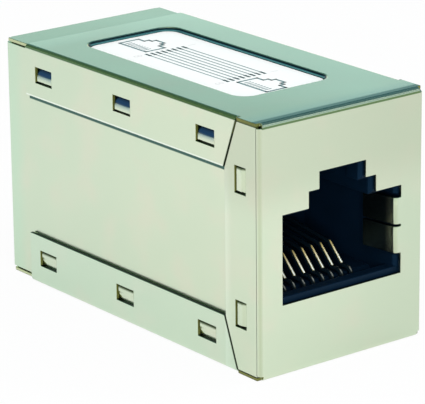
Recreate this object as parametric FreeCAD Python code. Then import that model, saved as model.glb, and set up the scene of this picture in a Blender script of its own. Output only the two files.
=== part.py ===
"""RJ45 inline coupler: two back-to-back 8P8C jacks on one board, in a shield of two folded sheets.

Millimetres. X across, Y from the front port to the rear port, Z up.
The origin is at the centre of the bottom face, where the coupler rests.
"""
import FreeCAD, Part
import math
import os

V = FreeCAD.Vector

# Shield: two sheets of nickel-plated brass, cut and folded into a box
shell_width = 17.3
shell_height = 21.6
shell_length = 35.6
sheet = 0.3
bend_inside = 0.1
lap_gap = 0.08              # between the rear shell's side panels and the flaps over them
flap_width = 4.5            # depth of the top and bottom flaps down the sides
flange_width = 4.45         # reach of the front plate's side flanges
mitre_lean = 1.45           # how far the seam between flap and flange leans
seam_gap = 0.15
rear_strip = 3.45           # length of the rear shell left uncovered at the back
strip_drop = 0.1            # the rear shell's top strip lies this much lower than the top plate

# Snap windows in the flaps and flanges, and the pressed ramps that fill them
window_inset = 2.45         # from the shell's outer face to the middle of a window
window_height = 1.4
flap_window_length = 2.4
flap_window_from_front = 6.93   # from the front face to the middle of the first window
flap_window_from_end = 2.68     # from the middle of the last window to the end of the flap
flange_window_length = 2.25
flange_window_pitch = 11.34
ramp_clearance = 0.12
ramp_rise_share = 0.93      # pressed height of a ramp, in sheet thicknesses
ramp_slope = 25
ramp_brow_radius = 0.5      # between the slope and the flat crest beside the locking edge

# Label and the shallow pan pressed into the top plate for it
pan_length = 21.9
pan_width = 9.4
pan_depth = 0.45
pan_corner = 1.3
pan_edge_radius = 0.3
pan_middle = 0.15
label_thickness = 0.12
label_clearance = 0.1

# Port: a main opening with two steps above it for the plug's latch
port_floor = 6.55
port_width = 11.9
port_height = 6.75
step_width = 6.4
step_height = 1.43
latch_width = 4.2
latch_height = 1.47
shield_margin = 0.35        # the shield's opening is this much larger than the plastic one
sill_margin = 0.5           # and this much lower than the plastic sill
mouth_chamfer = 0.25        # lead-in round the plastic port

# Ground tabs: two leaves folded into the port from one side of the opening
tab_height = 2.3
tab_slot = 0.2
tab_above_floor = 1.25
tab_length = 3.1
tab_lean = 0.45
tab_inset = 0.65            # from the edge of the shield's opening to the face of the tab
tab_bend_inside = 0.15

# Circuit board
board_underside = 1.5
board_thickness = 1.2
board_setback = 2.0         # from each end of the shell
peg_diameter = 1.6
peg_hole_clearance = 0.1
peg_inset = 1.42            # from the board's edge to the middle of a peg
peg_from_front = 5.3

# Jack housings
housing_gap = 0.1
between_housings = 2.4      # the space left between the two jacks
skirt = 0.6                 # walls that reach down beside the board
board_side_gap = 0.1
latch_wall = 1.6            # the ledge that the plug's latch catches behind
latch_pocket = 7.4
sill_thickness = 1.0
well_depth = 2.25           # from the sill down to the floor that the contact carrier sits on
core_wall = 1.0
core_rib = 1.2
tab_pocket = 0.5
tab_room = 0.25             # behind the tip of a ground tab

# Contacts: eight bent spring strips in each jack
contact_count = 8
contact_pitch = 1.016
contact_width = 0.38
contact_thickness = 0.3
run_below_floor = 1.55      # height of the contacts' lower run, below the port's floor
nose_radius = 0.6
nose_from_front = 3.1
knee_from_front = 4.3
kink_from_front = 5.9
knee_angle = 45
slope_angle = 8
tail_row = 9.1              # from the front face to the first row of tails
tail_row_pitch = 2.54
tail_below_board = 0.75
tail_hole_diameter = 0.8

# Contact carriers: the comb and tongue that hold the contacts, closing each jack's back
carrier_inset = 1.5         # from the back of the housing to the back of the carrier
comb_depth = 1.4
comb_height = 3.5           # above the port's floor
comb_slot = 0.62
groove = 0.56
tongue_thickness = 0.6
carrier_back = 1.8
carrier_gap = 0.05

# Solder joints under the board
joint_radius = 0.72
joint_tip_radius = 0.34
joint_height = 0.5
joint_sides = 8
joint_gap = 0.01

overcut = 1.0               # how far a cutter runs past the face it opens

# Worked out from the sizes above
half_width = shell_width / 2
front = -shell_length / 2
bend = bend_inside + sheet
panel_half = half_width - sheet - lap_gap
cover_end = -front - rear_strip
board_top = board_underside + board_thickness
housing_half = panel_half - sheet - housing_gap
housing_front = front + sheet + housing_gap
tab_tip = front + tab_bend_inside + sheet + tab_length
housing_rear = -between_housings / 2
housing_bottom = sheet + housing_gap
housing_top = shell_height - pan_depth - sheet - housing_gap
board_half = housing_half - skirt - board_side_gap
peg_place = board_half - peg_inset
port_half = port_width / 2
port_top = port_floor + port_height
step_top = port_top + step_height
latch_top = step_top + latch_height
well_floor = port_floor - well_depth
run_height = port_floor - run_below_floor
back_wall = housing_rear - carrier_inset - carrier_back
tail_rows = (front + tail_row, front + tail_row + tail_row_pitch)
contact_places = [(contact_count - 1) / 2 * contact_pitch - n * contact_pitch
                  for n in range(contact_count)]


def block(low, high):
    """A box between two corners."""
    return Part.makeBox(high[0] - low[0], high[1] - low[1], high[2] - low[2], V(*low))


def prism(points, reach):
    """A flat outline through the points, pulled along one vector."""
    return Part.Face(Part.makePolygon(points + points[:1])).extrude(reach)


def joined(pieces):
    """The pieces fused, with the seams between coplanar faces removed."""
    return pieces[0].multiFuse(pieces[1:]).removeSplitter()


def fold(centre, start, end, reach, inside=bend_inside):
    """A quarter turn of sheet about a bend line, from the start normal to the end normal."""
    middle = (start + end).normalize()
    outer = inside + sheet
    edges = [
        Part.Arc(centre + start * outer, centre + middle * outer, centre + end * outer).toShape(),
        Part.makeLine(centre + end * outer, centre + end * inside),
        Part.Arc(centre + end * inside, centre + middle * inside, centre + start * inside).toShape(),
        Part.makeLine(centre + start * inside, centre + start * outer),
    ]
    return Part.Face(Part.Wire(edges)).extrude(reach)


def both_sides(shape):
    """The shape and its mirror image across the middle of the shell."""
    return [shape, shape.mirror(V(0, 0, 0), V(1, 0, 0))]


def top_and_bottom(shape):
    """The shape and its mirror image below the middle height of the shell."""
    return [shape, shape.mirror(V(0, 0, shell_height / 2), V(0, 0, 1))]


def turned_to_rear(shape):
    """The same piece in the rear jack, half a turn about Z."""
    return shape.rotated(V(0, 0, 0), V(0, 0, 1), 180)


def port_outline(y, margin=0.0, sill=0.0):
    """Corners of the stepped opening at one depth, grown by the margins."""
    steps = [(port_half, port_top), (step_width / 2, step_top), (latch_width / 2, latch_top)]
    right = []
    height = port_floor - sill
    for half, top in steps:
        right.append(V(half + margin, y, height))
        right.append(V(half + margin, y, top + margin))
        height = top + margin
    left = [V(-p.x, p.y, p.z) for p in reversed(right)]
    return right + left


# ---------------------------------------------------------------- shield

def ground_tab(low):
    """One leaf: it folds from the plate into the port and leans towards the plug."""
    edge = port_half + shield_margin
    face = edge - tab_inset
    outer = tab_bend_inside + sheet
    centre = V(face + outer, front + outer, low)
    up = V(0, 0, tab_height)
    root = block((centre.x, front, low), (edge + sheet, front + sheet, low + tab_height))
    corner = fold(centre, V(0, -1, 0), V(-1, 0, 0), up, tab_bend_inside)
    leaf = prism([V(face, centre.y, low), V(face + sheet, centre.y, low),
                  V(face + sheet - tab_lean, tab_tip, low), V(face - tab_lean, tab_tip, low)], up)
    return [root, corner, leaf]


def end_plate(half, low, high):
    """The plate round the front port, with its ground tabs and the bends on its four edges."""
    plate = block((-half + bend, front, low + bend), (half - bend, front + sheet, high - bend))
    opening = prism(port_outline(front - sheet, shield_margin, sill_margin), V(0, 3 * sheet, 0))
    pieces = [plate.cut(opening)]
    first_tab = port_floor + tab_above_floor
    for tab_low in (first_tab, first_tab + tab_height + tab_slot):
        pieces += ground_tab(tab_low)
    upright = V(0, 0, high - low - 2 * bend)
    pieces += both_sides(fold(V(half - bend, front + bend, low + bend), V(0, -1, 0), V(1, 0, 0), upright))
    across = V(2 * (half - bend), 0, 0)
    for height, normal in ((high - bend, V(0, 0, 1)), (low + bend, V(0, 0, -1))):
        pieces.append(fold(V(-half + bend, front + bend, height), V(0, -1, 0), normal, across))
    return pieces


def flap_windows(depth_from, depth_to):
    """Cutters for the three windows of one upper flap, on the +X side."""
    middle = shell_height - window_inset
    first = front + flap_window_from_front
    last = cover_end - flap_window_from_end
    cutters = []
    for place in (first, (first + last) / 2, last):
        cutters.append(block((depth_from, place - flap_window_length / 2, middle - window_height / 2),
                             (depth_to, place + flap_window_length / 2, middle + window_height / 2)))
    return cutters


def flange_window(depth_from, depth_to):
    """The cutter for the upper window of one front flange, on the +X side."""
    place = front + window_inset
    middle = (shell_height + flange_window_pitch) / 2
    return block((depth_from, place - window_height / 2, middle - flange_window_length / 2),
                 (depth_to, place + window_height / 2, middle + flange_window_length / 2))


def label_pan(width, length, low, high, corner):
    """A flat block with round corners at the label's place."""
    edges = block((-width / 2, pan_middle - length / 2, low), (width / 2, pan_middle + length / 2, high))
    upright = [e for e in edges.Edges if abs(e.tangentAt(e.FirstParameter).z) > 0.9]
    return edges.makeFillet(corner, upright)


def front_shell():
    """The outer sheet: front plate, top and bottom plates, their side flaps and the side flanges."""
    flap_start = front + flange_width - mitre_lean
    flange_end = front + flange_width
    flap_low = shell_height - flap_width
    wall = V(sheet, 0, 0)
    inner = half_width - sheet
    pieces = end_plate(half_width, 0, shell_height)

    tuck = sheet + seam_gap
    flange = prism([V(inner, front + bend, tuck),
                    V(inner, flap_start - seam_gap, tuck),
                    V(inner, flange_end, flap_width),
                    V(inner, flange_end, flap_low),
                    V(inner, flap_start - seam_gap, shell_height - tuck),
                    V(inner, front + bend, shell_height - tuck)], wall)
    for window in top_and_bottom(flange_window(inner - sheet, half_width + sheet)):
        flange = flange.cut(window)
    pieces += both_sides(flange)

    flap = prism([V(inner, flap_start, shell_height - bend),
                  V(inner, flange_end + seam_gap, flap_low),
                  V(inner, cover_end, flap_low),
                  V(inner, cover_end, shell_height - bend)], wall)
    for window in flap_windows(inner - sheet, half_width + sheet):
        flap = flap.cut(window)
    flap_fold = fold(V(half_width - bend, flap_start, shell_height - bend), V(1, 0, 0), V(0, 0, 1),
                     V(0, cover_end - flap_start, 0))
    cover = block((-half_width + bend, front + bend, shell_height - sheet),
                  (half_width - bend, cover_end, shell_height))
    ear = block((half_width - bend, front + bend, shell_height - sheet),
                (half_width, flap_start - seam_gap, shell_height))
    for piece in both_sides(flap) + both_sides(flap_fold) + both_sides(ear) + [cover]:
        pieces += top_and_bottom(piece)

    pan_low = shell_height - pan_depth
    pieces.append(label_pan(pan_width + 2 * sheet, pan_length + 2 * sheet, pan_low - sheet,
                            shell_height - sheet, pan_corner + sheet))
    hollow = label_pan(pan_width, pan_length, pan_low, shell_height, pan_corner)
    shell = joined(pieces).cut(hollow)
    rim = [e for e in shell.Edges if on_pan_rim(e)]
    return shell.makeFillet(pan_edge_radius, rim)


def on_pan_rim(edge):
    """Whether an edge runs round the top of the label's pan."""
    box = edge.BoundBox
    inside_x = max(abs(box.XMin), abs(box.XMax)) < pan_width / 2 + sheet / 2
    inside_y = abs((box.YMin + box.YMax) / 2 - pan_middle) < pan_length / 2 + sheet / 2
    return inside_x and inside_y and box.ZMin > shell_height - sheet / 10


def ramp(run, rise_way, place):
    """A locking ramp's profile: a slope up from its foot, an arc, and a flat crest to the edge."""
    turn = math.radians(ramp_slope)
    rise = ramp_rise_share * sheet
    slope_rise = rise - ramp_brow_radius * (1 - math.cos(turn))
    brow = place + V(slope_rise, 0, 0) + rise_way * (slope_rise / math.tan(turn))
    centre = brow + (rise_way * math.sin(turn) - V(math.cos(turn), 0, 0)) * ramp_brow_radius
    halfway = (V(math.cos(turn / 2), 0, 0) - rise_way * math.sin(turn / 2)) * ramp_brow_radius
    crest = centre + V(ramp_brow_radius, 0, 0)
    edge = place + rise_way * run
    edges = [Part.makeLine(place, brow), Part.Arc(brow, centre + halfway, crest).toShape(),
             Part.makeLine(crest, edge + V(rise, 0, 0)), Part.makeLine(edge + V(rise, 0, 0), edge),
             Part.makeLine(edge, place)]
    return Part.Face(Part.Wire(edges))


def pressed_ramps():
    """Profiles and reaches of the +X side's upper ramps: three for the flap, one for the flange."""
    run = window_height - 2 * ramp_clearance
    found = []
    length = V(0, flap_window_length - 2 * ramp_clearance, 0)
    for window in flap_windows(panel_half, panel_half + sheet):
        box = window.BoundBox
        place = V(panel_half, box.YMin + ramp_clearance, box.ZMax - ramp_clearance)
        found.append((ramp(run, V(0, 0, -1), place), length))
    box = flange_window(panel_half, panel_half + sheet).BoundBox
    place = V(panel_half, box.YMin + ramp_clearance, box.ZMin + ramp_clearance)
    found.append((ramp(run, V(0, 1, 0), place), V(0, 0, flange_window_length - 2 * ramp_clearance)))
    return found


def rear_shell():
    """The inner sheet: rear plate, two long side panels with pressed ramps, and two short strips."""
    low = strip_drop
    high = shell_height - strip_drop
    pieces = [turned_to_rear(piece) for piece in end_plate(panel_half, low, high)]
    panel = block((panel_half - sheet, front + sheet + lap_gap, low + bend),
                  (panel_half, -front - bend, high - bend))
    for profile, reach in pressed_ramps():
        raised = profile.extrude(reach)
        hollow = raised.translated(V(-sheet, 0, 0))
        for bump, dent in zip(top_and_bottom(raised), top_and_bottom(hollow)):
            panel = panel.fuse(bump).cut(dent)
    strip = block((-panel_half, cover_end + seam_gap, high - sheet), (panel_half, -front - bend, high))
    return joined(pieces + both_sides(panel) + top_and_bottom(strip))


def label():
    """The film label that lies in the pan."""
    floor = shell_height - pan_depth
    shrink = 2 * label_clearance
    return label_pan(pan_width - shrink, pan_length - shrink, floor, floor + label_thickness,
                     pan_corner - label_clearance)


# ---------------------------------------------------------------- inside

def tail_places():
    """Where the front jack's contacts go through the board."""
    return [V(x, tail_rows[n % 2], 0) for n, x in enumerate(contact_places)]


def ring(place, radius, height):
    """Corners of a regular polygon round one tail."""
    turns = [2 * math.pi * n / joint_sides for n in range(joint_sides)]
    return [V(place.x + radius * math.cos(turn), place.y + radius * math.sin(turn), height) for turn in turns]


def circuit_board():
    """The board that both jacks stand on, drilled for their tails and pegs.

    The tail holes have as few sides as the joints that hide them, and the peg holes are round.
    """
    end = -front - board_setback
    board = block((-board_half, -end, board_underside), (board_half, end, board_top))
    start = V(0, 0, board_underside - overcut)
    depth = board_thickness + 2 * overcut
    drills = [prism(ring(place, tail_hole_diameter / 2, start.z), V(0, 0, depth)) for place in tail_places()]
    for side in (-1, 1):
        place = V(side * peg_place, front + peg_from_front, 0)
        drills.append(Part.makeCylinder(peg_diameter / 2 + peg_hole_clearance, depth, start + place))
    for drill in drills:
        board = board.cut(drill).cut(turned_to_rear(drill))
    return board


def mouth_lead_in():
    """The bevel round the mouth of the plastic port, left square along the sill."""
    outer = port_outline(housing_front, mouth_chamfer)
    inner = port_outline(housing_front + mouth_chamfer)
    for corner in (outer[0], outer[-1]):
        corner.z = port_floor
    rings = [Part.makePolygon(points + points[:1]) for points in (outer, inner)]
    return Part.makeLoft(rings, True, True)


def front_jack_housing():
    """The moulded body of a jack: port, latch ledge, sill, well, skirts beside the board, cored top."""
    entry = housing_front - overcut
    exit_side = housing_rear + overcut
    above = housing_top + overcut
    body = block((-housing_half, housing_front, housing_bottom), (housing_half, housing_rear, housing_top))
    latch_from = housing_front + latch_wall
    latch_to = latch_from + latch_pocket
    tail_reach = contact_pitch * contact_count / 2 + contact_width
    tabs_low = port_floor + tab_above_floor - tab_slot
    tabs_high = tabs_low + 2 * tab_height + 3 * tab_slot
    well_from = housing_front + sill_thickness
    cuts = [
        block((-board_half - board_side_gap, entry, 0), (board_half + board_side_gap, exit_side, board_top)),
        prism(port_outline(entry), V(0, exit_side - entry, 0)),
        mouth_lead_in(),
        block((-step_width / 2, latch_from, step_top), (step_width / 2, latch_to, latch_top)),
        block((-port_half, well_from, well_floor), (port_half, exit_side, port_floor)),
        block((-tail_reach, tail_rows[0] - tail_hole_diameter, board_top - overcut),
              (tail_reach, tail_rows[1] + tail_hole_diameter, well_floor)),
        block((port_half, entry, tabs_low), (port_half + tab_pocket, tab_tip + tab_room, tabs_high)),
    ]

    middle = (housing_front + housing_rear) / 2
    spans = ((latch_from, middle - core_rib / 2), (middle + core_rib / 2, housing_rear - core_wall))
    side_from = step_width / 2 + core_wall
    side_to = housing_half - core_wall
    for start, end in spans:
        cuts.append(block((-step_width / 2, start, latch_top + core_wall), (step_width / 2, end, above)))
        cuts += both_sides(block((side_from, start, port_top + core_wall), (side_to, end, above)))
    for cut in cuts:
        body = body.cut(cut)
    peg = Part.makeCylinder(peg_diameter / 2, board_thickness,
                            V(peg_place, front + peg_from_front, board_underside))
    return joined([body] + both_sides(peg))


def strip_side(points, radii, offset):
    """Edges along one side of a bent strip: an arc where a bend has a radius, a mitre where it has none."""
    edges = []
    along = (points[1] - points[0]).normalize()
    start = points[0] + V(0, -along.z, along.y) * offset
    for before, corner, after, radius in zip(points, points[1:], points[2:], radii):
        arrive = (corner - before).normalize()
        leave = (after - corner).normalize()
        turn = arrive.getAngle(leave)
        arrive_normal = V(0, -arrive.z, arrive.y)
        leave_normal = V(0, -leave.z, leave.y)
        if radius == 0:
            mitre = corner + (arrive_normal + leave_normal).normalize() * (offset / math.cos(turn / 2))
            edges.append(Part.makeLine(start, mitre))
            start = mitre
            continue
        inward = (leave - arrive).normalize()
        centre = corner + inward * (radius / math.cos(turn / 2))
        towards = 1 if arrive_normal.dot(leave) > 0 else -1
        side_radius = radius - towards * offset
        enter = centre - arrive_normal * towards * side_radius
        leave_at = centre - leave_normal * towards * side_radius
        if (enter - start).Length > contact_thickness / 100:
            edges.append(Part.makeLine(start, enter))
        edges.append(Part.Arc(enter, centre - inward * side_radius, leave_at).toShape())
        start = leave_at
    along = (points[-1] - points[-2]).normalize()
    edges.append(Part.makeLine(start, points[-1] + V(0, -along.z, along.y) * offset))
    return edges


def bent_strip(points, radii, thickness, width):
    """A flat strip of one width and thickness that follows the points."""
    left = strip_side(points, radii, thickness / 2)
    right = strip_side(points, radii, -thickness / 2)
    ends = [Part.makeLine(left[0].firstVertex().Point, right[0].firstVertex().Point),
            Part.makeLine(left[-1].lastVertex().Point, right[-1].lastVertex().Point)]
    outline = Part.Wire(Part.__sortEdges__(left + right + ends))
    return Part.Face(outline).extrude(V(width, 0, 0))


def front_contact(number):
    """One contact: tail through the board, run under the tongue, turn at the nose, rise to the comb."""
    tail = tail_places()[number]
    top = run_height + 2 * nose_radius
    knee = front + knee_from_front
    kink = front + kink_from_front
    kink_height = top + (kink - knee) * math.tan(math.radians(knee_angle))
    tip = back_wall - carrier_gap - contact_thickness / 2
    tip_height = kink_height + (tip - kink) * math.tan(math.radians(slope_angle))
    nose = front + nose_from_front
    route = [(tail.y, board_underside - tail_below_board), (tail.y, run_height), (nose, run_height),
             (nose, top), (knee, top), (kink, kink_height), (tip, tip_height)]
    points = [V(tail.x - contact_width / 2, y, z) for y, z in route]
    radii = [0, nose_radius, nose_radius, 0, 0]
    return bent_strip(points, radii, contact_thickness, contact_width)


def front_contact_carrier():
    """The insert that carries the contacts: grooved base, round-nosed tongue, comb and back wall."""
    half = port_half - carrier_gap
    tongue_low = run_height + nose_radius - tongue_thickness / 2
    tongue_high = tongue_low + tongue_thickness
    turn = front + nose_from_front + nose_radius
    base = block((-half, turn + nose_radius, well_floor), (half, back_wall, tongue_high))
    tongue = block((-half, turn, tongue_low), (half, back_wall, tongue_high))
    round_nose = Part.makeCylinder(tongue_thickness / 2, 2 * half, V(-half, turn, run_height + nose_radius),
                                   V(1, 0, 0))
    comb = block((-half, back_wall - comb_depth, tongue_low), (half, back_wall, port_floor + comb_height))
    outline = port_outline(back_wall, -carrier_gap)
    wall = prism(outline, V(0, carrier_back, 0))
    foot = block((-half, back_wall, well_floor), (half, back_wall + carrier_back, port_top - carrier_gap))
    carrier = joined([base, tongue, round_nose, comb, wall, foot])
    for place, tail in zip(contact_places, tail_places()):
        low_groove = block((place - groove / 2, turn, well_floor - overcut),
                           (place + groove / 2, tail.y + contact_thickness, tongue_low))
        slot = block((place - comb_slot / 2, back_wall - comb_depth - overcut, tongue_high),
                     (place + comb_slot / 2, back_wall, port_floor + comb_height + overcut))
        carrier = carrier.cut(low_groove).cut(slot)
    return carrier


def front_solder_joints():
    """The eight joints under the board that hold one jack's tails, each a frustum of flat sides."""
    joints = []
    tip = board_underside - joint_height
    across = contact_width / 2 + joint_gap
    deep = contact_thickness / 2 + joint_gap
    for place in tail_places():
        low_ring = ring(place, joint_tip_radius, tip)
        high_ring = ring(place, joint_radius, board_underside)
        faces = [Part.Face(Part.makePolygon(corners + corners[:1])) for corners in (low_ring, high_ring)]
        for n in range(joint_sides):
            side = [low_ring[n - 1], low_ring[n], high_ring[n], high_ring[n - 1]]
            faces.append(Part.Face(Part.makePolygon(side + side[:1])))
        hole = block((place.x - across, place.y - deep, tip),
                     (place.x + across, place.y + deep, board_underside))
        joints.append(Part.Solid(Part.Shell(faces)).cut(hole))
    return Part.makeCompound(joints)


nodes = {
    "front_shell": front_shell(),
    "rear_shell": rear_shell(),
    "label": label(),
    "circuit_board": circuit_board(),
}
jack = {
    "jack_housing": front_jack_housing(),
    "contact_carrier": front_contact_carrier(),
    "solder_joints": front_solder_joints(),
}
for number in range(contact_count):
    jack[f"contact_{number + 1}"] = front_contact(number)
for name, shape in jack.items():
    nodes[f"front_{name}"] = shape
    nodes[f"rear_{name}"] = turned_to_rear(shape)

os.makedirs("parts", exist_ok=True)
for name, shape in nodes.items():
    shape.exportStep(f"parts/{name}.step")
    print(name, "valid", shape.isValid(), "solids", len(shape.Solids), "volume", round(shape.Volume, 3))
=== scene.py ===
"""Looks of the shielded RJ45 inline coupler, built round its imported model.

Sections follow the order of assembly: board, jack housings, carriers, contacts, solder,
the rear shell, the front shell, the label, and then the studio. Lengths are in metres.
"""
import math

import bmesh
import bpy
from mathutils import Matrix, Vector


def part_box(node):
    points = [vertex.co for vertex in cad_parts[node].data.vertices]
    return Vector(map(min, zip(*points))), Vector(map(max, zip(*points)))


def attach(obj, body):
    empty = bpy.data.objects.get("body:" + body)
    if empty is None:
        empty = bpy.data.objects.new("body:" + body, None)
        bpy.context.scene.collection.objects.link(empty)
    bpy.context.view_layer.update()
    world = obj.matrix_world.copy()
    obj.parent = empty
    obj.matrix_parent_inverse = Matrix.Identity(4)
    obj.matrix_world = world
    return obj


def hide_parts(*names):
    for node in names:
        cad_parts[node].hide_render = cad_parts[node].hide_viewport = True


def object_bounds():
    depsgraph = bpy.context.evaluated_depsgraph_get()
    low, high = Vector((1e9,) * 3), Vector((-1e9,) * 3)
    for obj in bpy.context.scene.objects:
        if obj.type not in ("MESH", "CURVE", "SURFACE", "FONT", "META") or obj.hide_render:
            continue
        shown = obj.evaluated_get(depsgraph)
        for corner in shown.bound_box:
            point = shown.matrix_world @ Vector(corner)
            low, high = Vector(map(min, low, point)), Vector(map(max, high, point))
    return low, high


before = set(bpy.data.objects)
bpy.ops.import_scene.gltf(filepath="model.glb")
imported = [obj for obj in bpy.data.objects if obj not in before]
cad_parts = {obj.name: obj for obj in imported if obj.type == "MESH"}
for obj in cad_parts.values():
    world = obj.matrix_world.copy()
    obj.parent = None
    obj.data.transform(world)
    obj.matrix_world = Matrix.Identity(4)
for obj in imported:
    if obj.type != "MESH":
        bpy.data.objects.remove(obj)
cad_low, cad_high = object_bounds()


# ---------------------------------------------------------------- circuit board
# A drilled glass-epoxy board under green solder mask. Both jacks stand on it, and its
# tracks join like pins.

MM = 0.001


class Socket:
    """One output socket, with the arithmetic that adds Math nodes to its tree."""

    def __init__(self, graph, source):
        self.graph = graph
        self.source = source

    def maths(self, operation, *values):
        return self.graph.add("ShaderNodeMath", {"operation": operation}, values)

    def __add__(self, other):
        return self.maths("ADD", self, other)

    def __radd__(self, other):
        return self.maths("ADD", other, self)

    def __sub__(self, other):
        return self.maths("SUBTRACT", self, other)

    def __rsub__(self, other):
        return self.maths("SUBTRACT", other, self)

    def __mul__(self, other):
        return self.maths("MULTIPLY", self, other)

    def __rmul__(self, other):
        return self.maths("MULTIPLY", other, self)

    def __lt__(self, other):
        return self.maths("LESS_THAN", self, other)

    def __gt__(self, other):
        return self.maths("GREATER_THAN", self, other)

    def __abs__(self):
        return self.maths("ABSOLUTE", self)


class Graph:
    """A node tree, with the one method that adds any node to it."""

    def __init__(self, tree):
        self.tree = tree

    def add(self, kind, settings=None, values=(), output=None):
        node = self.tree.nodes.new(kind)
        settings = dict(settings or {})
        stops = settings.pop("stops", None)
        for name, value in settings.items():
            setattr(node, name, value)
        if stops:
            ramp = node.color_ramp.elements
            while len(ramp) < len(stops):
                ramp.new(1)
            for element, (position, color) in zip(ramp, stops):
                element.position = position
                element.color = (*color, 1)
        open_inputs = [s for s in node.inputs if s.enabled]
        if isinstance(values, dict):
            pairs = [(next(s for s in open_inputs if s.name == name), value)
                     for name, value in values.items()]
        else:
            pairs = zip(open_inputs, values)
        for socket, value in pairs:
            if isinstance(value, Socket):
                self.tree.links.new(value.source, socket)
            elif value is not None:
                socket.default_value = value
        open_outputs = [s for s in node.outputs if s.enabled]
        if output is not None:
            open_outputs = [s for s in open_outputs if s.name == output]
        return Socket(self, open_outputs[0]) if open_outputs else None

    def parts(self, vector):
        """The X, Y and Z of a vector socket."""
        return [self.add("ShaderNodeSeparateXYZ", {}, [vector], axis) for axis in "XYZ"]

    def place(self):
        """Object coordinates as X, Y and Z sockets."""
        return self.parts(self.add("ShaderNodeTexCoord", output="Object"))

    def between(self, value, none, full):
        """A smooth share, 0 where the value is at none and 1 where it is at full."""
        return self.add("ShaderNodeMapRange", {"interpolation_type": "SMOOTHSTEP"},
                        {"Value": value, "From Min": none, "From Max": full}, "Result")

    def noise(self, scale, detail=2.0, stretch=(1, 1, 1)):
        """Even noise from 0 to 1 in Object coordinates, scale features to the metre."""
        spot = self.add("ShaderNodeTexCoord", output="Object")
        spread = self.add("ShaderNodeMapping", {}, {"Vector": spot, "Scale": stretch})
        return self.add("ShaderNodeTexNoise", {},
                        {"Vector": spread, "Scale": scale, "Detail": detail}, "Fac")

    def mix(self, share, first, second):
        """A blend of two colours."""
        return self.add("ShaderNodeMix", {"data_type": "RGBA"},
                        {"Factor": share, "A": as_color(first), "B": as_color(second)}, "Result")

    def bump(self, height, distance, strength=1.0, normal=None):
        return self.add("ShaderNodeBump", {}, {"Height": height, "Distance": distance,
                                               "Strength": strength, "Normal": normal}, "Normal")

    def surface(self, **sockets):
        """The shader and the material's output."""
        values = {name.replace("_", " "): value for name, value in sockets.items()}
        shader = self.add("ShaderNodeBsdfPrincipled", {}, values, "BSDF")
        self.add("ShaderNodeOutputMaterial", {}, {"Surface": shader})


def as_color(value):
    return value if isinstance(value, Socket) else (*value, 1)


def finish_named(name):
    """A new material and the graph of its empty tree."""
    material = bpy.data.materials.new(name)
    material.use_nodes = True
    material.node_tree.nodes.clear()
    return material, Graph(material.node_tree)


def solder_mask():
    material, graph = finish_named("solder_mask")
    speckle = graph.noise(900, 3)
    weave = graph.noise(1800, 1, (1, 0.2, 1))
    color = graph.mix(speckle, (0.012, 0.075, 0.035), (0.02, 0.11, 0.05))
    graph.surface(Base_Color=color, Roughness=0.28 + 0.1 * speckle,
                  Normal=graph.bump(weave, 0.00001, 0.4))
    return material


def paint_node(name, material):
    """A CAD node keeps its shape and takes a finish."""
    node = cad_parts[name]
    node.data.materials.clear()
    node.data.materials.append(material)


paint_node("circuit_board", solder_mask())


# ---------------------------------------------------------------- jack housings
# Each jack's body is one moulding of black glass-filled nylon with sharp tool edges, a
# trace of blue in the light, and a fine spark-eroded texture.

MOULDED_EDGE = 0.06 * MM
LEVEL = math.radians(0.5)
SOFT = math.radians(15)
STEEP = math.radians(35)


def worked_copy(node, name, edge, prepare=None):
    """A piece that copies a CAD node, welded, prepared, and with its sharp edges rounded."""
    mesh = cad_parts[node].data.copy()
    mesh.materials.clear()
    work = bmesh.new()
    work.from_mesh(mesh)
    bmesh.ops.remove_doubles(work, verts=work.verts, dist=0.0005 * MM)
    bmesh.ops.dissolve_limit(work, angle_limit=math.radians(1), verts=work.verts, edges=work.edges)
    if prepare:
        prepare(work)
    for face in work.faces:
        turns = [e.calc_face_angle() for e in face.edges if len(e.link_faces) == 2]
        face.smooth = sum(1 for turn in turns if LEVEL < turn < SOFT) > 1
    work.to_mesh(mesh)
    work.free()
    piece = bpy.data.objects.new(name, mesh)
    bpy.context.scene.collection.objects.link(piece)
    bevel = piece.modifiers.new("edges", "BEVEL")
    bevel.width = edge
    bevel.segments = 2
    bevel.limit_method = "ANGLE"
    bevel.angle_limit = STEEP
    bevel.use_clamp_overlap = False
    level = piece.modifiers.new("flat_faces_stay_flat", "WEIGHTED_NORMAL")
    level.keep_sharp = True
    level.weight = 100
    low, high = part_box(node)
    for vertex in made_plain(piece).data.vertices:
        vertex.co = [min(max(c, a), b) for c, a, b in zip(vertex.co, low, high)]
    return piece


def made_plain(piece):
    """The piece with what its modifiers make as its own mesh."""
    evaluated = piece.evaluated_get(bpy.context.evaluated_depsgraph_get())
    mesh = bpy.data.meshes.new_from_object(evaluated)
    piece.modifiers.clear()
    piece.data = mesh
    return piece


def moulded_nylon():
    material, graph = finish_named("black_moulded_nylon")
    grain = graph.noise(6000, 2)
    cloud = graph.noise(350, 2)
    color = graph.mix(cloud, (0.0014, 0.006, 0.013), (0.0025, 0.010, 0.024))
    graph.surface(Base_Color=color, Roughness=0.30 + 0.10 * cloud, Specular_IOR_Level=0.14,
                  Specular_Tint=(0.2, 0.55, 1.0, 1), Normal=graph.bump(grain, 0.000004, 0.5))
    return material


nylon = moulded_nylon()
for end in ("front", "rear"):
    node = f"{end}_jack_housing"
    housing = worked_copy(node, f"{end}_housing", MOULDED_EDGE)
    housing.data.materials.append(nylon)
    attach(housing, "root")
    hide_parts(node)


# ---------------------------------------------------------------- contact carriers
# The insert behind each port is moulded from the same nylon. Its comb keeps the eight
# springs apart, and its back wall closes the jack.

for end in ("front", "rear"):
    paint_node(f"{end}_contact_carrier", nylon)


# ---------------------------------------------------------------- contacts
# Eight springs of hard phosphor bronze wire in each jack, gold over nickel. Each comes up
# through the board, turns round the carrier's nose and rises at 45 degrees into the comb.

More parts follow.
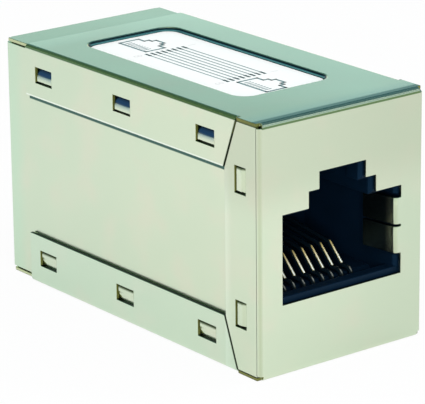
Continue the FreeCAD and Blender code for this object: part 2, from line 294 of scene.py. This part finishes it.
WIRE = 0.42 * MM
NOSE_RADIUS = 0.6 * MM
WIRE_BEND = 0.3 * MM
NOSE_FROM_FACE = 3.1 * MM
KNEE_FROM_FACE = 4.3 * MM
KINK_FROM_FACE = 5.9 * MM
TAILS_FROM_FACE = (9.1 * MM, 11.64 * MM)
RUN_HEIGHT = 5.0 * MM


def gold_plate():
    """Gold plating, painted with a highlight along the upper front side of each spring, and painted
    dark as shade round it and deep in the jack.
    """
    material, graph = finish_named("gold_plate")
    draw = graph.noise(5000, 2, (1, 0.05, 0.05))
    across, along, up = graph.parts(graph.add("ShaderNodeNewGeometry", output="Normal"))
    # How squarely a face turns up and lengthwise, where the painted highlight lies.
    highlight_facing = 0.707 * (abs(along) + up)
    depth = cad_high.y - abs(graph.place()[1])
    near = graph.between(depth, KINK_FROM_FACE + 2 * WIRE_BEND, KNEE_FROM_FACE + 2 * WIRE_BEND)
    near = near * (0.2 + 0.8 * graph.between(depth, NOSE_FROM_FACE + NOSE_RADIUS, KNEE_FROM_FACE))
    # The painted highlight: near white, turning orange towards the kink.
    gold = graph.mix(draw, (0.80, 0.92, 0.84), (0.95, 1.0, 0.95))
    gold = graph.mix(graph.between(depth, KNEE_FROM_FACE, KINK_FROM_FACE), gold, (0.80, 0.62, 0.20))
    # Painted shade: near black elsewhere, with a painted orange sheen round the highlight.
    color = graph.mix(graph.between(highlight_facing, 0.78, 0.92) * near * near,
                      (0.002, 0.006, 0.010), (0.34, 0.30, 0.12))
    color = graph.mix(graph.between(highlight_facing, 0.92, 0.98) * near, color, gold)
    graph.surface(Base_Color=color, Roughness=0.2 + 0.1 * draw, Specular_IOR_Level=0.2)
    return material


def wire_tree():
    """Rounds each polyline's corners by its own "turn" radii and draws it as a round wire."""
    tree = bpy.data.node_groups.new("spring_wire", "GeometryNodeTree")
    for name, kind in (("Geometry", "Geometry"), ("Wire radius", "Float"), ("Sides", "Int"),
                       ("Plating", "Material")):
        tree.interface.new_socket(name, in_out="INPUT", socket_type=f"NodeSocket{kind}")
    tree.interface.new_socket("Geometry", in_out="OUTPUT", socket_type="NodeSocketGeometry")
    graph = Graph(tree)
    given = {name: graph.add("NodeGroupInput", output=name)
             for name in ("Geometry", "Wire radius", "Sides", "Plating")}
    path = graph.add("GeometryNodeMeshToCurve", {}, [given["Geometry"]])
    turn = graph.add("GeometryNodeInputNamedAttribute", {"data_type": "FLOAT"}, ["turn"])
    rounded = graph.add("GeometryNodeFilletCurve", {"mode": "POLY"},
                        {"Curve": path, "Count": given["Sides"], "Radius": turn})
    ring = graph.add("GeometryNodeCurvePrimitiveCircle", {},
                     {"Resolution": given["Sides"], "Radius": given["Wire radius"]})
    wire = graph.add("GeometryNodeCurveToMesh", {},
                     {"Curve": rounded, "Profile Curve": ring, "Fill Caps": True})
    smooth = graph.add("GeometryNodeSetShadeSmooth", {}, {"Geometry": wire, "Shade Smooth": True})
    real = graph.add("GeometryNodeRealizeInstances", {}, [smooth])
    plated = graph.add("GeometryNodeSetMaterial", {}, {"Geometry": real, "Material": given["Plating"]})
    graph.add("NodeGroupOutput", {}, [plated])
    return tree


def grown(piece, tree, inputs):
    """The piece with what a Geometry Nodes tree makes of it as its own mesh."""
    modifier = piece.modifiers.new(tree.name, "NODES")
    modifier.node_group = tree
    for item in tree.interface.items_tree:
        if item.in_out == "INPUT" and item.name in inputs:
            modifier[item.identifier] = inputs[item.name]
    return made_plain(piece)


def front_contact_route(number):
    """Corners of one of the front jack's springs, tail first, and the radius of each bend."""
    low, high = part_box(f"front_contact_{number}")
    across = (low.x + high.x) / 2
    face = cad_low.y
    top = RUN_HEIGHT + 2 * NOSE_RADIUS
    tail = face + TAILS_FROM_FACE[(number - 1) % 2]
    knee = face + KNEE_FROM_FACE
    kink = face + KINK_FROM_FACE
    route = [(tail, low.z), (tail, RUN_HEIGHT), (face + NOSE_FROM_FACE, RUN_HEIGHT),
             (face + NOSE_FROM_FACE, top), (knee, top), (kink, top + kink - knee),
             (high.y, high.z - WIRE / 2)]
    turns = [0, WIRE_BEND, NOSE_RADIUS, NOSE_RADIUS, WIRE_BEND, WIRE_BEND, 0]
    return [Vector((across, y, z)) for y, z in route], turns


def spring_contacts(end, material):
    """The eight springs of one jack as one piece. The rear jack is the front one turned round."""
    corners, turns, edges = [], [], []
    for number in range(1, 9):
        route, radii = front_contact_route(number)
        edges += [(len(corners) + n, len(corners) + n + 1) for n in range(len(route) - 1)]
        corners += route
        turns += radii
    if end == "rear":
        corners = [Vector((-c.x, -c.y, c.z)) for c in corners]
    mesh = bpy.data.meshes.new(f"{end}_springs")
    mesh.from_pydata(corners, edges, [])
    mesh.attributes.new("turn", "FLOAT", "POINT").data.foreach_set("value", turns)
    piece = bpy.data.objects.new(f"{end}_springs", mesh)
    bpy.context.scene.collection.objects.link(piece)
    return grown(piece, wire_tree(), {"Wire radius": WIRE / 2, "Sides": 12, "Plating": material})


gold = gold_plate()
for end in ("front", "rear"):
    springs = spring_contacts(end, gold)
    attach(springs, "root")
    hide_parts(*[f"{end}_contact_{number}" for number in range(1, 9)])


# ---------------------------------------------------------------- solder joints
# Bright tin joints hold the tails under the board, out of sight in the closed shield.
# They were laid by a wave machine, so each one is smooth, small and a little uneven in shade.

def bright_solder():
    material, graph = finish_named("bright_solder")
    flow = graph.noise(2500, 2)
    color = graph.mix(flow, (0.62, 0.63, 0.64), (0.78, 0.79, 0.80))
    graph.surface(Base_Color=color, Metallic=1.0, Roughness=0.22 + 0.18 * flow)
    return material


solder = bright_solder()
for end in ("front", "rear"):
    paint_node(f"{end}_solder_joints", solder)


# ---------------------------------------------------------------- rear shell
# The inner half of the shield: brass sheet, satin nickel plated before it is stamped, so
# its sheared edges are bare. Shadow is painted on its panels below the flaps' edges.

SHEET = 0.3 * MM
STAMPED_EDGE = 0.05 * MM
FLAP_DEPTH = 4.5 * MM
FLANGE_WIDTH = 4.45 * MM
SHADOW_BAND = 0.46 * MM
WINDOW = 1.4 * MM
WINDOW_INSET = 2.45 * MM
FLANGE_WINDOW_TOPS = (6.255 * MM, 17.595 * MM)
TAB_ROOM = (4 * MM, 17 * MM)
TAB_DEPTH = 12 * MM
LOWER_SLOPES = 5 * MM
MITRE_LEAN = 1.45 * MM
SEAM_GAP = 0.15 * MM


def bare_where_sheared(work):
    """Marks the faces that run straight through the sheet, apart from the sides of a port."""
    cut = work.faces.layers.float.new("sheared")
    for face in work.faces:
        for axis in range(3):
            places = [v.co[axis] for v in face.verts]
            through = max(places) - min(places)
            straight = 0.8 * SHEET < through < 1.02 * SHEET and abs(face.normal[axis]) < 0.01
            if straight and not (axis == 1 and abs(face.normal.x) > 0.5):
                face[cut] = 1


def nickel_plate(name, bare_colors, marks):
    """Satin nickel on brass, bare where it was sheared, with painted shade, reflections and highlights
    set by the way each face turns, and painted shade deep in the ports and on cuts that slant or face up.
    """
    material, graph = finish_named(name)
    sheared = graph.add("ShaderNodeAttribute", {"attribute_name": "sheared"}, output="Fac")
    across, along, up = graph.parts(graph.add("ShaderNodeNewGeometry", output="Normal"))
    side, length, height = graph.place()
    cloud = graph.noise(130, 2)
    blotch = graph.noise(260, 3)
    nickel = graph.mix(cloud, (0.68, 0.785, 0.595), (0.745, 0.82, 0.625))
    nickel = graph.mix(0.6 * graph.between(blotch, 0.45, 0.75), nickel, (0.79, 0.785, 0.62))
    # Painted shade: the long vertical bends darker olive.
    nickel = graph.mix(2.4 * across * across * along * along, nickel, (0.48, 0.55, 0.34))
    # Painted reflection on the upper bends: dark green where they face sideways, gold where they face up.
    bent = graph.mix(graph.between(up, 0.36, 0.62), (0.055, 0.13, 0.045), (0.62, 0.62, 0.20))
    slanting = graph.between(across * across * up * up, 0.01, 0.09) * (up > 0)
    nickel = graph.mix(slanting, nickel, bent)
    # Painted shade: faces that turn to the front or back darker, more towards the right.
    right = graph.between(side, 0.8 * cad_low.x, 0.9 * cad_high.x)
    nickel = graph.mix(along * along * (0.04 + 0.28 * right), nickel, (0.40, 0.50, 0.37))
    # Painted shade: the sides darker and greener towards the rear.
    rearward = graph.between(length, 0.5 * cad_low.y, 0.8 * cad_high.y)
    nickel = graph.mix(0.14 * rearward * across * across, nickel, (0.38, 0.56, 0.46))
    # Painted shade on the top faces away from the right, and a painted highlight on faces that turn up
    # towards the right.
    nickel = graph.mix(0.3 * (up > 0.9) * (1 - right), nickel, (0.58, 0.72, 0.44))
    nickel = graph.mix(up * up * (up > 0) * 0.6 * right, nickel, (0.86, 0.99, 0.74))
    nickel = marks(graph, nickel)
    # Painted shade: faces inside the ports, such as the ground tabs, near black.
    depth = cad_high.y - abs(length)
    deep = graph.between(depth, 0.5 * SHEET, 4 * SHEET) * (depth < TAB_DEPTH)
    deep = deep * (height > TAB_ROOM[0]) * (height < TAB_ROOM[1])
    deep = deep * (abs(side) < cad_high.x - 4 * SHEET)
    nickel = graph.mix(0.97 * deep, nickel, (0.006, 0.022, 0.034))
    # Painted shade on cut faces that slant or face up, less of it near the top: they take the third bare
    # colour.
    shaded = graph.between(up * up, 0.02, 0.09) * (1 - 0.75 * (height > cad_high.z - 5 * SHEET))
    bare = graph.mix(shaded, graph.mix(blotch, *bare_colors[:2]), bare_colors[2])
    drooping = (up < -0.2) * (abs(across) > 0.5)
    drooping = drooping * (height > 4 * SHEET) * (height < LOWER_SLOPES)
    level = graph.add("ShaderNodeCombineXYZ", {}, [across, along, up * (1 - drooping)])
    level = graph.add("ShaderNodeVectorMath", {"operation": "NORMALIZE"}, [level])
    graph.surface(Base_Color=graph.mix(sheared, nickel, bare),
                  Metallic=1.0 - 0.5 * sheared * (1 - shaded) - 0.05 * deep,
                  Roughness=0.22 + 0.06 * cloud + 0.2 * sheared,
                  Normal=graph.bump(graph.noise(90, 1), 0.000018, 1.0, level))
    return material


def past_mitre(length, height):
    """The way rearward from the seam between flange and flap, and the way past the flap's edge."""
    past_edge = abs(height - cad_high.z / 2) - (cad_high.z / 2 - FLAP_DEPTH)
    lean = (MITRE_LEAN + SEAM_GAP) / (FLAP_DEPTH - SHEET)
    middle = cad_low.y + FLANGE_WIDTH + SEAM_GAP / 2 - lean * past_edge * (past_edge > 0)
    return length - middle, past_edge


def shade_painted_under_flaps(graph, nickel):
    """Painted shadow below the upper flaps' edges and behind the mitre seams, painted shade and painted
    reflections on the ramps in the windows, and the rear strip's top darker and tealer and its sides
    greener.
    """
    side, length, height = graph.place()
    tilt = graph.parts(graph.add("ShaderNodeNewGeometry", output="Normal"))
    cover_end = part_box("front_shell")[1].y
    beside_flange = cad_low.y + FLANGE_WIDTH
    wall = (abs(side) > cad_high.x - 2 * SHEET) * (length < cover_end)
    edge = cad_high.z - FLAP_DEPTH
    # Painted shadow on the side panels just below the upper flaps' lower edges.
    shadow_line = graph.between(edge - height, SHADOW_BAND, 0.8 * SHADOW_BAND) * (height < edge)
    nickel = graph.mix(0.95 * shadow_line * wall * (length > beside_flange), nickel, (0.025, 0.10, 0.085))
    # Painted shade on the panel behind the mitre seams between flange and flap.
    seam, past_edge = past_mitre(length, height)
    under_seam = (abs(seam) < 2 * SEAM_GAP) * (past_edge > 0) * wall
    nickel = graph.mix(0.9 * under_seam, nickel, (0.03, 0.055, 0.02))
    # The upper windows: painted shade on the ramps' crests below their slopes, and a painted navy
    # reflection on the slopes that face up, darker towards the top.
    windows = cad_high.z - WINDOW_INSET
    window_shade = graph.between(height, windows - 0.35 * WINDOW, windows + 0.1 * WINDOW) * wall
    nickel = graph.mix(0.8 * window_shade * (abs(tilt[0]) > 0.97), nickel, (0.08, 0.20, 0.27))
    slope_reflection = graph.mix(graph.between(height, windows + 0.15 * WINDOW, windows + 0.42 * WINDOW),
                    (0.022, 0.060, 0.135), (0.006, 0.018, 0.035))
    nickel = graph.mix(graph.between(tilt[2], 0.08, 0.35) * window_shade, nickel, slope_reflection)
    # Painted shadow under the tops of the lower windows and the flange windows.
    lower_window_top = WINDOW_INSET + WINDOW / 2
    for top, flange in ((lower_window_top, False), *((top, True) for top in FLANGE_WINDOW_TOPS)):
        shade = graph.between(height, top - 0.38 * MM, top - 0.2 * MM)
        shade = shade * (height < top + 0.1 * MM) * wall
        here = (length < beside_flange) if flange else (length > beside_flange)
        nickel = graph.mix(0.9 * shade * here, nickel, (0.06, 0.09, 0.035))
    strip = (tilt[2] > 0.5) * (length > cover_end)
    nickel = graph.mix(0.35 * strip, nickel, (0.50, 0.68, 0.46))
    end = graph.between(length, cover_end + 2 * SHEET, cad_high.y - 3 * SHEET) * (abs(tilt[0]) > 0.9)
    return graph.mix(0.5 * end, nickel, (0.56, 0.79, 0.60))


rear_shield = worked_copy("rear_shell", "rear_shield", STAMPED_EDGE, bare_where_sheared)
# The third bare colour is the painted shade of cuts that slant or face up.
rear_shield.data.materials.append(nickel_plate(
    "nickel_under_flaps", [(0.42, 0.46, 0.24), (0.58, 0.64, 0.40), (0.06, 0.08, 0.03)],
    shade_painted_under_flaps))
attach(rear_shield, "root")
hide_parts("rear_shell")


# ---------------------------------------------------------------- front shell
# The outer half wraps the rear one. Its flaps lie over the side panels, and the pressed
# ramps of the rear shell lock in its windows. Its top plate is pressed down for the label.

EDGE_SHEEN = 0.2 * MM
ROLLED = 0.7 * MM


def sheen_and_shade_painted(graph, nickel):
    """Painted highlights at the upper flaps' lower edges and the flanges' rear edges, painted shade on
    the flanges' and front plate's upper parts, the lower flaps, the mitre seams, the crease under the
    front edge and the label pan, and a painted sheen and teal reflection on the top plate.
    """
    side, length, height = graph.place()
    tilt = graph.parts(graph.add("ShaderNodeNewGeometry", output="Normal"))
    behind = length - (cad_low.y + FLANGE_WIDTH)
    above = height - (cad_high.z - FLAP_DEPTH)
    wall = abs(side) > cad_high.x - SHEET
    # Painted highlight along the upper flaps' lower edges.
    sheen_above_edge = graph.between(above, EDGE_SHEEN, 0.5 * EDGE_SHEEN) * (above > 0) * (behind > 0)
    nickel = graph.mix(0.8 * sheen_above_edge * wall, nickel, (0.94, 1.0, 0.90))
    # Painted highlight on the flanges near their rear edges.
    flange = graph.between(0 - behind, 5 * EDGE_SHEEN, 0) * (above < 0) * (behind < 0)
    nickel = graph.mix(0.35 * flange * wall, nickel, (0.90, 0.98, 0.84))
    seam, past_edge = past_mitre(length, height)
    # Painted shade: the flanges and the front plate darker towards the top.
    high = graph.between(above, -FLAP_DEPTH, 0) * (seam < 0) * (tilt[2] < 0.5)
    nickel = graph.mix(0.35 * high, nickel, (0.48, 0.50, 0.37))
    # Painted shade: the lower flaps cooler and darker.
    low_flap = (height < FLAP_DEPTH) * (seam > 0) * wall
    nickel = graph.mix(0.25 * low_flap, nickel, (0.60, 0.84, 0.69))
    # Painted shade on the outer faces beside the mitre seams.
    seam_shade = graph.between(abs(seam), 1.2 * SEAM_GAP, 0.6 * SEAM_GAP) * (past_edge > 0) * wall
    nickel = graph.mix(0.9 * seam_shade, nickel, (0.03, 0.055, 0.02))
    # Painted sheen on the top plate towards its rear.
    rear_top_sheen = graph.between(length, cad_high.y - 7 * MM, cad_high.y - 4 * MM) * (tilt[2] > 0.9)
    nickel = graph.mix(0.5 * rear_top_sheen, nickel, (0.86, 1.0, 0.76))
    # Painted teal reflection on the top plate near its rolled front edge, darkest where it starts to roll.
    front = length - cad_low.y
    near_roll = graph.between(front, 4 * ROLLED, ROLLED) * (tilt[2] > 0.9)
    nickel = graph.mix(0.4 * near_roll, nickel, (0.40, 0.62, 0.56))
    roll = graph.between(front, 1.6 * ROLLED, 1.1 * ROLLED) * graph.between(tilt[2], 0.96, 0.995)
    nickel = graph.mix(roll, nickel, (0.10, 0.25, 0.20))
    # Painted shade in the crease just under the top plate's front edge.
    crease = (height < cad_high.z - SHEET) * (height > cad_high.z - 1.6 * SHEET) * (tilt[1] < -0.7)
    nickel = graph.mix(0.9 * crease * (abs(side) < cad_high.x - SHEET), nickel, (0.10, 0.19, 0.065))
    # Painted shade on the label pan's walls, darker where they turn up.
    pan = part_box("label")
    walls = (height < cad_high.z - 0.15 * SHEET) * (height > pan[0].z - 0.15 * SHEET)
    walls = walls * (abs(side) < cad_high.x - 3 * SHEET) * (abs(length) < cad_high.y - 3 * SHEET)
    foot = graph.between(tilt[2], 0.2, 0.6)
    return graph.mix(walls, nickel, graph.mix(foot, (0.09, 0.27, 0.28), (0.028, 0.065, 0.08)))


def fitted_and_bare(work):
    """Draws the flanges' ends close to the plates they were folded against, then marks the cuts."""
    for vertex in work.verts:
        for end, way in ((cad_high.z - 1.5 * SHEET, 1), (cad_low.z + 1.5 * SHEET, -1)):
            if abs(vertex.co.z - end) < 0.01 * MM and abs(vertex.co.x) > cad_high.x - 1.1 * SHEET:
                vertex.co.z += way * 0.45 * SHEET
    bare_where_sheared(work)


front_shield = worked_copy("front_shell", "front_shield", STAMPED_EDGE, fitted_and_bare)
# Its bare brass is painted dark, partly the brass's own tone and partly painted shade in the narrow cuts;
# the third bare colour is the painted shade of cuts that slant or face up.
front_shield.data.materials.append(nickel_plate(
    "satin_nickel_on_brass", [(0.09, 0.11, 0.025), (0.22, 0.22, 0.05), (0.014, 0.028, 0.012)],
    sheen_and_shade_painted))
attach(front_shield, "root")
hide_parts("front_shell")


# ---------------------------------------------------------------- label
# A white film label lies in the pressed pan of the top plate. It is printed in grey with
# a plain wiring diagram: two jacks, the eight lines between them, and their numbers.

INK_HEIGHT = 0.006 * MM
JACK_FROM_MIDDLE = 8.2 * MM
JACK_STROKE = 0.24 * MM
PIN_STROKE = 0.14 * MM
PIN_PITCH = 0.56 * MM
PIN_REACH = 5.6 * MM
PAD = 0.5 * MM
NUMERAL = 1.2 * MM


def label_film():
    material, graph = finish_named("label_film")
    fibre = graph.noise(2500, 3)
    color = graph.mix(fibre, (0.96, 0.98, 0.96), (0.99, 1.0, 0.98))
    graph.surface(Base_Color=color, Roughness=0.45 + 0.1 * fibre,
                  Normal=graph.bump(fibre, 0.000004, 0.4))
    return material


def grey_ink():
    material, graph = finish_named("grey_ink")
    cover = graph.noise(4000, 3)
    color = graph.mix(graph.between(cover, 0.5, 0.8), (0.12, 0.22, 0.23), (0.32, 0.43, 0.44))
    graph.surface(Base_Color=color, Roughness=0.5 + 0.1 * cover)
    return material


def bar_tree():
    """Prints a flat bar at each point, as long and as wide as the point's "size" says."""
    tree = bpy.data.node_groups.new("printed_bars", "GeometryNodeTree")
    tree.interface.new_socket("Geometry", in_out="INPUT", socket_type="NodeSocketGeometry")
    tree.interface.new_socket("Ink", in_out="INPUT", socket_type="NodeSocketMaterial")
    tree.interface.new_socket("Geometry", in_out="OUTPUT", socket_type="NodeSocketGeometry")
    graph = Graph(tree)
    size = graph.add("GeometryNodeInputNamedAttribute", {"data_type": "FLOAT_VECTOR"}, ["size"])
    bar = graph.add("GeometryNodeMeshGrid", {}, {"Size X": 1.0, "Size Y": 1.0, "Vertices X": 2,
                                                 "Vertices Y": 2}, "Mesh")
    points = graph.add("NodeGroupInput", output="Geometry")
    bars = graph.add("GeometryNodeInstanceOnPoints", {}, {"Points": points, "Instance": bar, "Scale": size})
    real = graph.add("GeometryNodeRealizeInstances", {}, [bars])
    ink = graph.add("NodeGroupInput", output="Ink")
    graph.add("NodeGroupOutput", {}, [graph.add("GeometryNodeSetMaterial", {},
                                                {"Geometry": real, "Material": ink})])
    return tree


def stroke(start, end, width):
    """The bar between two points on a line along X or Y, square at both ends: middle and size."""
    size = [abs(b - a) + width for a, b in zip(start, end)]
    return [(a + b) / 2 for a, b in zip(start, end)], size


def diagram():
    """The bars of the wiring diagram, as middles and sizes about the label's middle."""
    bars = []
    jack = [(-1.9, -1.5), (-1.9, 0.55), (-1.05, 0.55), (-1.05, 1.05), (-0.6, 1.05), (-0.6, 1.5)]
    corners = [Vector(p) * MM for p in jack]
    corners += [Vector((-c.x, c.y)) for c in reversed(corners)]
    for side in (-1, 1):
        middle = side * JACK_FROM_MIDDLE
        for here, there in zip(corners, corners[1:] + corners[:1]):
            ends = [(p.y, middle + p.x) for p in (here, there)]
            bars.append(stroke(*ends, JACK_STROKE))
        for pin in range(8):
            across = (pin - 3.5) * PIN_PITCH
            pad = (across, side * (PIN_REACH - PAD)), (across, side * PIN_REACH)
            bars.append(stroke(*pad, 2 * PIN_STROKE))
            finger = middle + (pin - 3.5) * JACK_STROKE * 1.6
            bars.append(stroke((-1.2 * MM, finger), (-0.6 * MM, finger), PIN_STROKE))
    for pin in range(8):
        across = (pin - 3.5) * PIN_PITCH
        bars.append(stroke((across, -PIN_REACH), (across, PIN_REACH), PIN_STROKE))
    return bars


def numeral(character, across, along, ink):
    """One figure, read from the left side of the coupler, as a flat mesh at its place."""
    text = bpy.data.curves.new("numeral", "FONT")
    text.body = character
    text.size = NUMERAL
    text.align_x = "CENTER"
    text.align_y = "CENTER"
    holder = bpy.data.objects.new("numeral", text)
    bpy.context.scene.collection.objects.link(holder)
    mesh = bpy.data.meshes.new_from_object(holder.evaluated_get(bpy.context.evaluated_depsgraph_get()))
    bpy.data.objects.remove(holder)
    mesh.transform(Matrix.Translation((across, along, 0)) @ Matrix.Rotation(math.radians(-90), 4, "Z"))
    mesh.materials.clear()
    mesh.materials.append(ink)
    return mesh


def label_print():
    """The whole print as one piece, just above the film."""
    low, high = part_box("label")
    ink = grey_ink()
    bars = diagram()
    mesh = bpy.data.meshes.new("label_print")
    mesh.from_pydata([(*middle, 0) for middle, _ in bars], [], [])
    sizes = [value for _, size in bars for value in (*size, 1)]
    mesh.attributes.new("size", "FLOAT_VECTOR", "POINT").data.foreach_set("vector", sizes)
    piece = bpy.data.objects.new("label_print", mesh)
    bpy.context.scene.collection.objects.link(piece)
    grown(piece, bar_tree(), {"Ink": ink})
    work = bmesh.new()
    work.from_mesh(piece.data)
    reach = 5.2 * PIN_PITCH
    for character, across in (("1", reach), ("8", -reach)):
        for along in (-PIN_REACH, PIN_REACH):
            work.from_mesh(numeral(character, across, along, ink))
    middle = (low + high) / 2
    bmesh.ops.translate(work, verts=work.verts, vec=(middle.x, middle.y, high.z + INK_HEIGHT))
    work.to_mesh(piece.data)
    work.free()
    return piece


paint_node("label", label_film())
printed = label_print()
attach(printed, "root")


# ---------------------------------------------------------------- studio
# A pale floor, a white surround and three soft lamps. A dark hood and a small edge light
# are met by reflections only, and give the polished plate something to mirror.

def staged_sheet(name, size, height, material):
    mesh = bpy.data.meshes.new(name)
    half = size / 2
    mesh.from_pydata([(-half, -half, height), (half, -half, height),
                      (half, half, height), (-half, half, height)], [], [(0, 1, 2, 3)])
    mesh.materials.append(material)
    piece = bpy.data.objects.new(name, mesh)
    bpy.context.scene.collection.objects.link(piece)
    return piece


def direct_rays(graph):
    """Camera, glossy and transmission rays, each as a share of 0 or 1."""
    return [graph.add("ShaderNodeLightPath", {}, (), f"Is {kind} Ray")
            for kind in ("Camera", "Glossy", "Transmission")]


def floor_paint():
    """White paint that camera and mirror rays see close to pure white, with its shadows kept."""
    material, graph = finish_named("floor_paint")
    camera_ray, glossy_ray, transmission_ray = direct_rays(graph)
    seen = camera_ray.maths("MAXIMUM", 0.93 * camera_ray, 0.3 * glossy_ray)
    seen = seen.maths("MAXIMUM", seen, 0.3 * transmission_ray)
    paint = graph.add("ShaderNodeBsdfDiffuse", {}, {"Color": (0.86, 0.87, 0.87, 1)})
    glow = graph.add("ShaderNodeEmission", {}, {"Color": (1, 1, 1, 1), "Strength": 1.0})
    both = graph.add("ShaderNodeMixShader", {}, [seen, paint, glow])
    graph.add("ShaderNodeOutputMaterial", {}, {"Surface": both})
    return material


staged_sheet("floor", 6, 0, floor_paint())


HOOD_RADIUS = 1.2
HOOD_RIM = math.radians(8)
EDGE_LIGHT = 0.26
EDGE_LIGHT_PLACE = (0.585, -0.58, 0.567)


def glowing(name, color):
    """Even light of one colour, or of a colour socket's."""
    material, graph = finish_named(name)
    shade = color(graph) if callable(color) else as_color(color)
    glow = graph.add("ShaderNodeEmission", {}, {"Color": shade, "Strength": 1.0})
    graph.add("ShaderNodeOutputMaterial", {}, {"Surface": glow})
    return material


def hood_shades(graph):
    """Pale at the rim, then dark, with a pale opening overhead."""
    spot = graph.add("ShaderNodeTexCoord", output="Object")
    height = graph.parts(graph.add("ShaderNodeVectorMath", {"operation": "NORMALIZE"}, [spot]))[2]
    stops = [(0.14, (0.85, 0.97, 0.97)), (0.24, (0.61, 0.89, 0.90)), (0.30, (0.53, 0.80, 0.82)),
             (0.42, (0.07, 0.17, 0.21)), (0.84, (0.05, 0.125, 0.16)), (0.90, (0.55, 0.68, 0.66)),
             (1.0, (0.70, 0.80, 0.78))]
    return graph.add("ShaderNodeValToRGB", {"stops": stops}, [height], "Color")


def only_in_gloss(piece):
    piece.visible_camera = False
    piece.visible_diffuse = False
    piece.visible_shadow = False
    piece.visible_transmission = False


dome = bmesh.new()
bmesh.ops.create_uvsphere(dome, u_segments=48, v_segments=48, radius=HOOD_RADIUS)
rim = HOOD_RADIUS * math.sin(HOOD_RIM)
bmesh.ops.delete(dome, geom=[v for v in dome.verts if v.co.z < rim], context="VERTS")
hood_mesh = bpy.data.meshes.new("hood")
dome.to_mesh(hood_mesh)
dome.free()
hood_mesh.materials.append(glowing("hood_cloth", hood_shades))
hood = bpy.data.objects.new("hood", hood_mesh)
bpy.context.scene.collection.objects.link(hood)
only_in_gloss(hood)

card = staged_sheet("edge_light", EDGE_LIGHT, 0, glowing("edge_light", (0.9, 1.0, 1.0)))
card.location = EDGE_LIGHT_PLACE
card.rotation_euler = Vector(EDGE_LIGHT_PLACE).to_track_quat("Z", "Y").to_euler()
only_in_gloss(card)

world = bpy.data.worlds.new("surround")
bpy.context.scene.world = world
world.use_nodes = True
world.node_tree.nodes.clear()
sky = Graph(world.node_tree)
rays = direct_rays(sky)
direct = rays[0].maths("MAXIMUM", rays[0].maths("MAXIMUM", rays[0], rays[1]), rays[2])
soft = sky.add("ShaderNodeBackground", {}, {"Color": (0.95, 0.98, 1, 1), "Strength": 0.6})
white = sky.add("ShaderNodeBackground", {}, {"Color": (1, 1, 1, 1), "Strength": 1.0})
sky.add("ShaderNodeOutputWorld", {}, {"Surface": sky.add("ShaderNodeMixShader", {}, [direct, soft, white])})


def soft_lamp(name, place, aim, size, power):
    lamp = bpy.data.lights.new(name, "AREA")
    lamp.shape = "SQUARE"
    lamp.size = size
    lamp.energy = power
    holder = bpy.data.objects.new(name, lamp)
    holder.location = place
    holder.rotation_euler = (Vector(aim) - Vector(place)).to_track_quat("-Z", "Y").to_euler()
    bpy.context.scene.collection.objects.link(holder)
    return holder


middle = (cad_low + cad_high) / 2
key = soft_lamp("key_lamp", (-0.35, -0.45, 0.7), middle, 0.5, 4.0)
key.visible_glossy = False
fill = soft_lamp("fill_lamp", (0.6, -0.3, 0.4), middle, 0.5, 1.2)
fill.visible_glossy = False
low_lamp = soft_lamp("low_lamp", (-0.30, -0.39, 0.09), middle, 0.2, 1.6)
low_lamp.visible_glossy = False

bpy.context.scene.view_settings.view_transform = "Standard"

# The camera looks down on the front left corner from a short distance
AZIMUTH = math.radians(-37.93)
ELEVATION = math.radians(17.98)
ROLL = math.radians(-0.59)
DISTANCE = 0.2514
aim = Vector((0, -0.7 * MM, 9.22 * MM))
back = Vector((math.sin(AZIMUTH) * math.cos(ELEVATION), -math.cos(AZIMUTH) * math.cos(ELEVATION),
               math.sin(ELEVATION)))
lens = bpy.data.cameras.new("camera")
lens.lens = 249.3
lens.sensor_width = 36
lens.clip_start = 0.01
camera = bpy.data.objects.new("camera", lens)
camera.matrix_world = (Matrix.Translation(aim + back * DISTANCE)
                       @ back.to_track_quat("Z", "Y").to_matrix().to_4x4()
                       @ Matrix.Rotation(ROLL, 4, "Z"))
bpy.context.scene.collection.objects.link(camera)
bpy.context.scene.camera = camera
